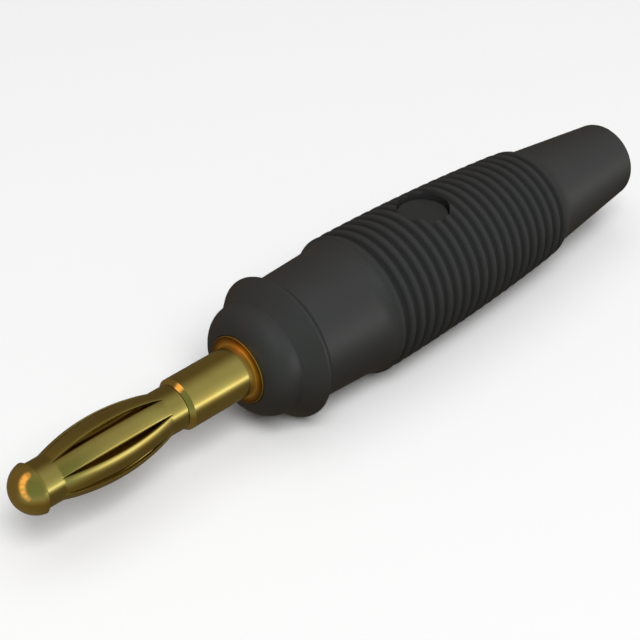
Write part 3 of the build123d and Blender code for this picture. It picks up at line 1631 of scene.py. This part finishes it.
@dataclass(frozen=True)
class Lamp:
    """A soft lamp that faces the plug, with its place and width in metres and its power in watts."""

    name: str
    place: Place
    size: float
    power: float
    shape: LampShape = LampShape.SQUARE
    colour: Tint = WHITE

    def build(self) -> bpy.types.Object:
        """Make the lamp, which shows in no reflection.

        Returns:
            The lamp's object.
        """
        light = bpy.data.lights.new(self.name, "AREA")
        light.shape = self.shape.value
        light.size = self.size
        light.energy = self.power
        light.color = self.colour
        made = Workshop.place(light)
        made.location = self.place
        made.rotation_mode = "QUATERNION"
        made.rotation_quaternion = (-Vector(self.place)).to_track_quat("-Z", "Y")
        made.visible_glossy = False
        return made


@dataclass(frozen=True)
class Panel:
    """A warm panel: degrees from the tip's direction and above it, width in metres and power."""

    azimuth: float
    elevation: float
    size: float
    power: float

    def place(self, distance: float) -> Place:
        """Work out where the panel stands.

        Args:
            distance: Its distance from the plug's origin, in metres.

        Returns:
            Its place in metres.
        """
        turn = radians(self.azimuth)
        rise = radians(self.elevation)
        level = distance * cos(rise)
        return (-level * cos(turn), -level * sin(turn), distance * sin(rise))


@dataclass(frozen=True)
class Glow:
    """A bowed row of round warm panels off the tip, at a distance in metres, for the gold alone."""

    distance: float = 0.5
    colour: Tint = (1.0, 0.53, 0.31)
    panels: tuple[Panel, ...] = (
        Panel(-30.0, 58.0, 0.28, 0.095),
        Panel(-23.0, 44.0, 0.28, 0.095),
        Panel(-14.0, 30.0, 0.28, 0.095),
        Panel(-4.0, 16.0, 0.26, 0.085),
        Panel(7.0, 2.0, 0.24, 0.070),
        Panel(20.0, -10.0, 0.20, 0.035),
    )

    def build(self, pieces: list[bpy.types.Object]) -> None:
        """Set up the panels.

        Args:
            pieces: The gold pieces, which alone take their light.
        """
        lit = bpy.data.collections.new("lit_by_glow")
        for piece in pieces:
            lit.objects.link(piece)
        for number, panel in enumerate(self.panels):
            place = panel.place(self.distance)
            name = f"Glow.{number}"
            made = Lamp(name, place, panel.size, panel.power, LampShape.ROUND, self.colour).build()
            made.visible_glossy = True
            made.visible_camera = False
            made.light_linking.receiver_collection = lit
        maker.info("glow: %d warm panels on %d pieces", len(self.panels), len(pieces))


@dataclass(frozen=True)
class ViewPoint:
    """Camera at the photograph's viewing angle, looking down along an equal-angled line.

    It shows what lies between the nearest and the farthest distance, both in metres.
    """

    aim: float = 8.38
    distance: float = 137.22
    rise: float = 0.157
    lens: float = 103.05
    sensor: float = 36.0
    nearest: float = 0.001
    farthest: float = 20.0

    def build(self) -> None:
        """Set up the camera."""
        ahead = Vector((1.0, 1.0, -1.0)).normalized()
        right = Vector((1.0, -1.0, 0.0)).normalized()
        up = right.cross(ahead)
        rotation = Matrix((right, up, -ahead)).transposed()
        centre = Vector((self.aim, 0.0, 0.0)) - ahead * self.distance + up * self.rise
        data = bpy.data.cameras.new("Camera")
        data.lens = self.lens
        data.sensor_width = self.sensor
        data.clip_start = self.nearest
        data.clip_end = self.farthest
        made = Workshop.place(data)
        made.matrix_world = Matrix.Translation(centre * MILLIMETRE) @ rotation.to_4x4()
        bpy.context.scene.camera = made


@dataclass
class Studio:
    """Camera, floor, backdrop, surroundings and lamps, with floor and backdrop sized in metres."""

    floor_level: float
    floor_size: float = 4.0
    backdrop_radius: float = 1.9
    backdrop_facets: tuple[int, int] = (48, 24)
    lamps: tuple[Lamp, ...] = (
        Lamp("Overhead", (0.0, 0.0, 0.9), 1.2, 3.2),
        Lamp("Key", (-0.26, -0.48, 0.72), 0.5, 6.4),
    )

    @classmethod
    def from_frame(cls) -> "Studio":
        """Set the floor under the sleeve."""
        return cls(floor_level=Room.of(NodeName.SLEEVE).low.z)

    def floor(self) -> None:
        """Lay the floor under the plug, out of sight of glossy rays."""
        half = self.floor_size / 2
        level = self.floor_level * MILLIMETRE
        sides = ((-half, -half), (half, -half), (half, half), (-half, half))
        mesh = bpy.data.meshes.new("Floor")
        mesh.from_pydata([(x, y, level) for x, y in sides], [], [(0, 1, 2, 3)])
        mesh.materials.append(PaleFloor().material())
        made = Workshop.place(mesh)
        made.visible_glossy = False

    def backdrop(self) -> None:
        """Put a white surround round everything, which only the camera sees."""
        around, up = self.backdrop_facets
        work = bmesh.new()
        bmesh.ops.create_uvsphere(work, u_segments=around, v_segments=up, radius=self.backdrop_radius)
        mesh = settle(work, bpy.data.meshes.new("Backdrop"))
        mesh.materials.append(WhiteBackdrop().material())
        made = Workshop.place(mesh)
        for ray in ("diffuse", "glossy", "transmission", "volume_scatter", "shadow"):
            setattr(made, f"visible_{ray}", False)

    def build(self) -> None:
        """Set up the whole studio."""
        ViewPoint().build()
        self.floor()
        self.backdrop()
        Surroundings().build()
        for lamp in self.lamps:
            lamp.build()
        bpy.context.scene.view_settings.view_transform = "Standard"
        maker.info("studio: floor at %.2f mm", self.floor_level)


def main() -> None:
    """Set up the studio, then build the sleeve, its stopper, the pin, the spring and the screw."""
    logging.basicConfig(level=logging.INFO)
    Studio.from_frame().build()
    turned_gold = TurnedGold().material()
    rolled_gold = RolledGold().material()
    sleeve = Sleeve.from_frame()
    plastic = MouldedPlastic(sleeve).material()
    sleeve.build(plastic)
    HoleStopper.from_sleeve(sleeve).build(plastic)
    pin = ContactPin.from_frame().build(turned_gold)
    spring = SpringCage.from_frame().build(rolled_gold)
    Glow().build([pin, spring])
    ClampScrew.from_frame().build(BrightSteel().material())


if __name__ == "__main__":
    main()
